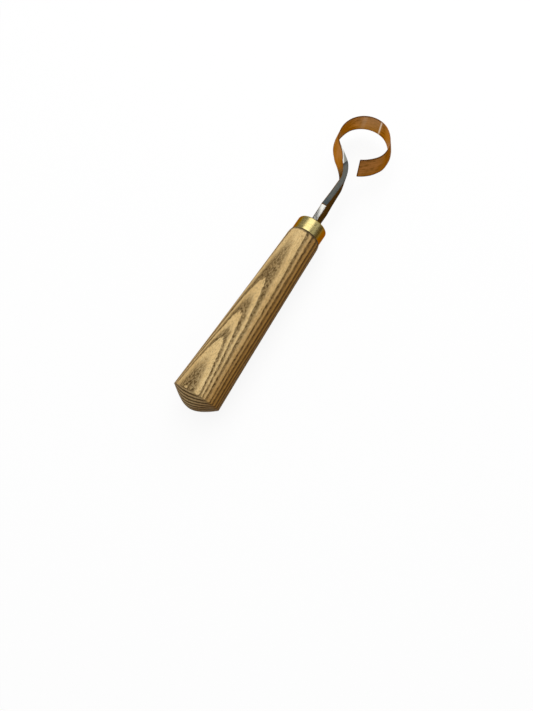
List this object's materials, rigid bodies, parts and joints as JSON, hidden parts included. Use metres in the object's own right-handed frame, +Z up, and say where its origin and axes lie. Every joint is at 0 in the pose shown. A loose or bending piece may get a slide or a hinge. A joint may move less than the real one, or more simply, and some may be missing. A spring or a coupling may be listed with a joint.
{
  "type": "ring scorp",
  "caption": "Hand hollowing tool: a turned tapered wooden grip with a domed end, a brass ferrule, and a flat steel shank rolled into an open, slightly conical cutting ring.",
  "frame": {"origin": "centre of the part's box at its lowest point, the height on which the grip lies", "axes": "+X from the domed end of the grip to the ring, +Y to the side on which the shank runs into the ring, +Z up along the ring's own axis"},
  "size_m": [0.2265, 0.039, 0.0302],
  "materials": {
    "ash_wood": "oiled open-grained wood, satin",
    "brass": "turned and polished, lightly tarnished at the edges",
    "forged_steel": "forge scale on the shank, brown temper colour on the ring, bright where ground",
    "cured_resin": "cured adhesive, hidden inside the grip"
  },
  "bodies": {
    "root": {"handle": "ash_wood", "ferrule": "brass", "blade": "forged_steel", "tang_bedding": "cured_resin"}
  },
  "joints": []
}
